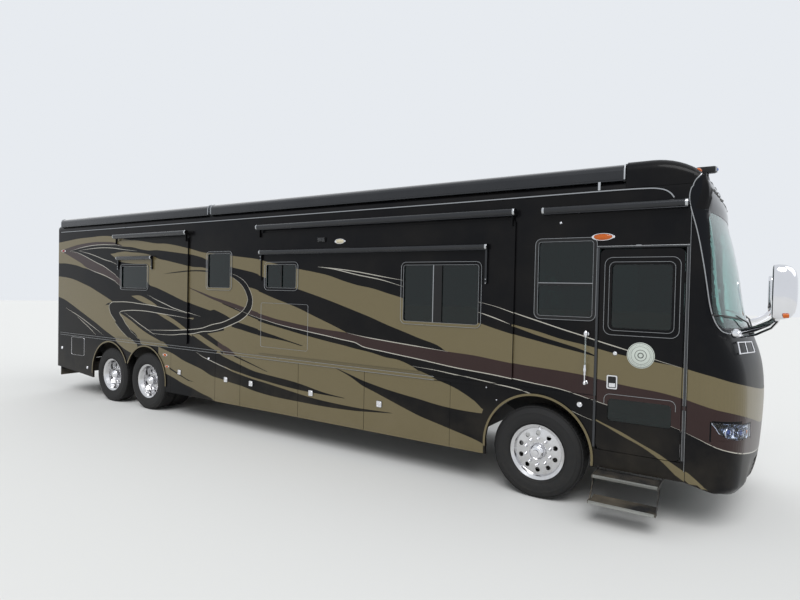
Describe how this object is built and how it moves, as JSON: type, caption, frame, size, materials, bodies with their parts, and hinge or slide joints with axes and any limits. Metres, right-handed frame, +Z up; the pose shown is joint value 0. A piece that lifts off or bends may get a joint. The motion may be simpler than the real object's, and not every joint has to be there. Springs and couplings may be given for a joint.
{
  "type": "motorhome",
  "caption": "Three-axle diesel motorhome with slide-out rooms, side storage bays, an entry door with a folding-away step and a rear engine door.",
  "frame": {"origin": "on the ground, under the middle of the vehicle", "axes": "+X forward, +Y to the driver side (left), +Z up"},
  "size_m": [12.975, 3.38, 3.86],
  "materials": {
    "body_paint": "gloss full-body paint",
    "tinted_glass": "dark tinted glass",
    "clear_glass": "laminated glass",
    "lamp_lens": "clear lens",
    "tail_lens": "red lens",
    "window_frame": "satin black",
    "chassis_black": "satin black",
    "engine_iron": "painted casting",
    "rubber": "matt",
    "tyre": "matt",
    "polished_alloy": "polished",
    "floor_board": "sealed board",
    "step_grey": "textured",
    "dash_plastic": "grained",
    "seat_leather": "stitched",
    "chrome": "polished",
    "roof_plastic": "moulded"
  },
  "bodies": {
    "coach": {"air_springs": "rubber", "awning_cases": "body_paint", "bay_floor": "floor_board", "cross_members": "chassis_black", "dash_and_wheel": "dash_plastic", "deck": "floor_board", "deck_bearers": "chassis_black", "deck_risers": "chassis_black", "engine_block": "engine_iron", "entry_stairs": "step_grey", "frame_rails": "chassis_black", "front_axle": "chassis_black", "front_cap": "body_paint", "front_seats": "seat_leather", "grab_handle": "chrome", "headlamps": "lamp_lens", "hitch_receiver": "chassis_black", "lower_sides": "body_paint", "mirrors": "chrome", "mud_flap": "rubber", "rear_axles": "chassis_black", "rear_cap": "body_paint", "roof": "body_paint", "roof_units": "roof_plastic", "side_walls": "body_paint", "side_windows": "tinted_glass", "tail_lamps": "tail_lens", "window_frames": "window_frame", "windshield": "clear_glass"},
    "steer_right": {"knuckle_right": "chassis_black"},
    "front_wheel_right": {"wheel_front_right": "polished_alloy", "tyre_front_right": "tyre"},
    "drive_wheels_right": {"wheels_drive_right": "polished_alloy", "tyres_drive_right": "tyre"},
    "tag_wheel_right": {"wheel_tag_right": "polished_alloy", "tyre_tag_right": "tyre"},
    "steer_left": {"knuckle_left": "chassis_black"},
    "front_wheel_left": {"wheel_front_left": "polished_alloy", "tyre_front_left": "tyre"},
    "drive_wheels_left": {"wheels_drive_left": "polished_alloy", "tyres_drive_left": "tyre"},
    "tag_wheel_left": {"wheel_tag_left": "polished_alloy", "tyre_tag_left": "tyre"},
    "tie_rod": {"tie_rod": "chassis_black"},
    "entry_door": {"entry_door": "body_paint", "entry_door_glass": "tinted_glass"},
    "entry_step": {"entry_step": "step_grey"},
    "engine_door": {"engine_door": "body_paint"},
    "bedroom_slide": {"slide_bedroom_right": "body_paint", "slide_glass_bedroom_right": "tinted_glass"},
    "living_slide_right": {"slide_living_right": "body_paint", "slide_glass_living_right": "tinted_glass"},
    "living_slide_left": {"slide_living_left": "body_paint", "slide_glass_living_left": "tinted_glass"},
    "bay_door_right_a": {"bay_door_right_a": "body_paint"},
    "bay_door_right_b": {"bay_door_right_b": "body_paint"},
    "bay_door_right_c": {"bay_door_right_c": "body_paint"},
    "bay_door_right_d": {"bay_door_right_d": "body_paint"},
    "bay_door_right_e": {"bay_door_right_e": "body_paint"},
    "bay_door_left_a": {"bay_door_left_a": "body_paint"},
    "bay_door_left_c": {"bay_door_left_c": "body_paint"},
    "bay_door_left_d": {"bay_door_left_d": "body_paint"},
    "bay_door_left_e": {"bay_door_left_e": "body_paint"}
  },
  "joints": [
    {"name": "steering_right", "type": "hinge", "parent": "coach", "child": "steer_right", "pos_m": [4.18, -0.88, 0.515], "axis": [0, 0, 1], "range_deg": [-45, 45]},
    {"name": "steering_left", "type": "hinge", "parent": "coach", "child": "steer_left", "pos_m": [4.18, 0.88, 0.515], "axis": [0, 0, 1], "range_deg": [-45, 45]},
    {"name": "tie_rod_ball", "type": "hinge", "parent": "steer_right", "child": "tie_rod", "pos_m": [3.88, -0.88, 0.414], "axis": [0, 0, 1], "range_deg": [-45, 45]},
    {"name": "front_wheel_right_spin", "type": "hinge", "parent": "steer_right", "child": "front_wheel_right", "pos_m": [4.18, -1.1, 0.515], "axis": [0, 1, 0], "continuous": true},
    {"name": "drive_wheels_right_spin", "type": "hinge", "parent": "coach", "child": "drive_wheels_right", "pos_m": [-3.152, -1.1, 0.515], "axis": [0, 1, 0], "continuous": true},
    {"name": "tag_wheel_right_spin", "type": "hinge", "parent": "coach", "child": "tag_wheel_right", "pos_m": [-4.331, -1.1, 0.515], "axis": [0, 1, 0], "continuous": true},
    {"name": "front_wheel_left_spin", "type": "hinge", "parent": "steer_left", "child": "front_wheel_left", "pos_m": [4.18, 1.1, 0.515], "axis": [0, 1, 0], "continuous": true},
    {"name": "drive_wheels_left_spin", "type": "hinge", "parent": "coach", "child": "drive_wheels_left", "pos_m": [-3.152, 1.1, 0.515], "axis": [0, 1, 0], "continuous": true},
    {"name": "tag_wheel_left_spin", "type": "hinge", "parent": "coach", "child": "tag_wheel_left", "pos_m": [-4.331, 1.1, 0.515], "axis": [0, 1, 0], "continuous": true},
    {"name": "entry_door_hinge", "type": "hinge", "parent": "coach", "child": "entry_door", "pos_m": [5.61, -1.275, 1.7], "axis": [0, 0, 1], "range_deg": [0, 95]},
    {"name": "entry_step_slide", "type": "slide", "parent": "coach", "child": "entry_step", "axis": [0, 1, 0], "range_m": [0, 0.42]},
    {"name": "engine_door_hinge", "type": "hinge", "parent": "coach", "child": "engine_door", "pos_m": [-6.426, 0, 1.5], "axis": [0, 1, 0], "range_deg": [0, 80]},
    {"name": "bedroom_slide_out", "type": "slide", "parent": "coach", "child": "bedroom_slide", "axis": [0, -1, 0], "range_m": [0, 0.65]},
    {"name": "living_slide_right_out", "type": "slide", "parent": "coach", "child": "living_slide_right", "axis": [0, -1, 0], "range_m": [0, 0.7]},
    {"name": "living_slide_left_out", "type": "slide", "parent": "coach", "child": "living_slide_left", "axis": [0, 1, 0], "range_m": [0, 0.7]},
    {"name": "bay_door_right_a_hinge", "type": "hinge", "parent": "coach", "child": "bay_door_right_a", "pos_m": [-1.2304, -1.2726, 0.8], "axis": [0, 0, 1], "range_deg": [0, 100]},
    {"name": "bay_door_right_b_hinge", "type": "hinge", "parent": "coach", "child": "bay_door_right_b", "pos_m": [-0.6284, -1.2726, 0.8], "axis": [0, 0, 1], "range_deg": [0, 100]},
    {"name": "bay_door_right_c_hinge", "type": "hinge", "parent": "coach", "child": "bay_door_right_c", "pos_m": [0.6086, -1.2726, 0.8], "axis": [0, 0, 1], "range_deg": [0, 100]},
    {"name": "bay_door_right_d_hinge", "type": "hinge", "parent": "coach", "child": "bay_door_right_d", "pos_m": [1.8056, -1.2726, 0.8], "axis": [0, 0, 1], "range_deg": [0, 100]},
    {"name": "bay_door_right_e_hinge", "type": "hinge", "parent": "coach", "child": "bay_door_right_e", "pos_m": [3.1026, -1.2726, 0.8], "axis": [0, 0, 1], "range_deg": [0, 100]},
    {"name": "bay_door_left_a_hinge", "type": "hinge", "parent": "coach", "child": "bay_door_left_a", "pos_m": [-1.2304, 1.2726, 0.8], "axis": [0, 0, -1], "range_deg": [0, 100]},
    {"name": "bay_door_left_c_hinge", "type": "hinge", "parent": "coach", "child": "bay_door_left_c", "pos_m": [0.6086, 1.2726, 0.8], "axis": [0, 0, -1], "range_deg": [0, 100]},
    {"name": "bay_door_left_d_hinge", "type": "hinge", "parent": "coach", "child": "bay_door_left_d", "pos_m": [1.8056, 1.2726, 0.8], "axis": [0, 0, -1], "range_deg": [0, 100]},
    {"name": "bay_door_left_e_hinge", "type": "hinge", "parent": "coach", "child": "bay_door_left_e", "pos_m": [3.1026, 1.2726, 0.8], "axis": [0, 0, -1], "range_deg": [0, 100]}
  ],
  "couplings": [
    {"joint": "steering_left", "follows": "steering_right", "ratio": 1},
    {"joint": "tie_rod_ball", "follows": "steering_right", "ratio": -1}
  ]
}
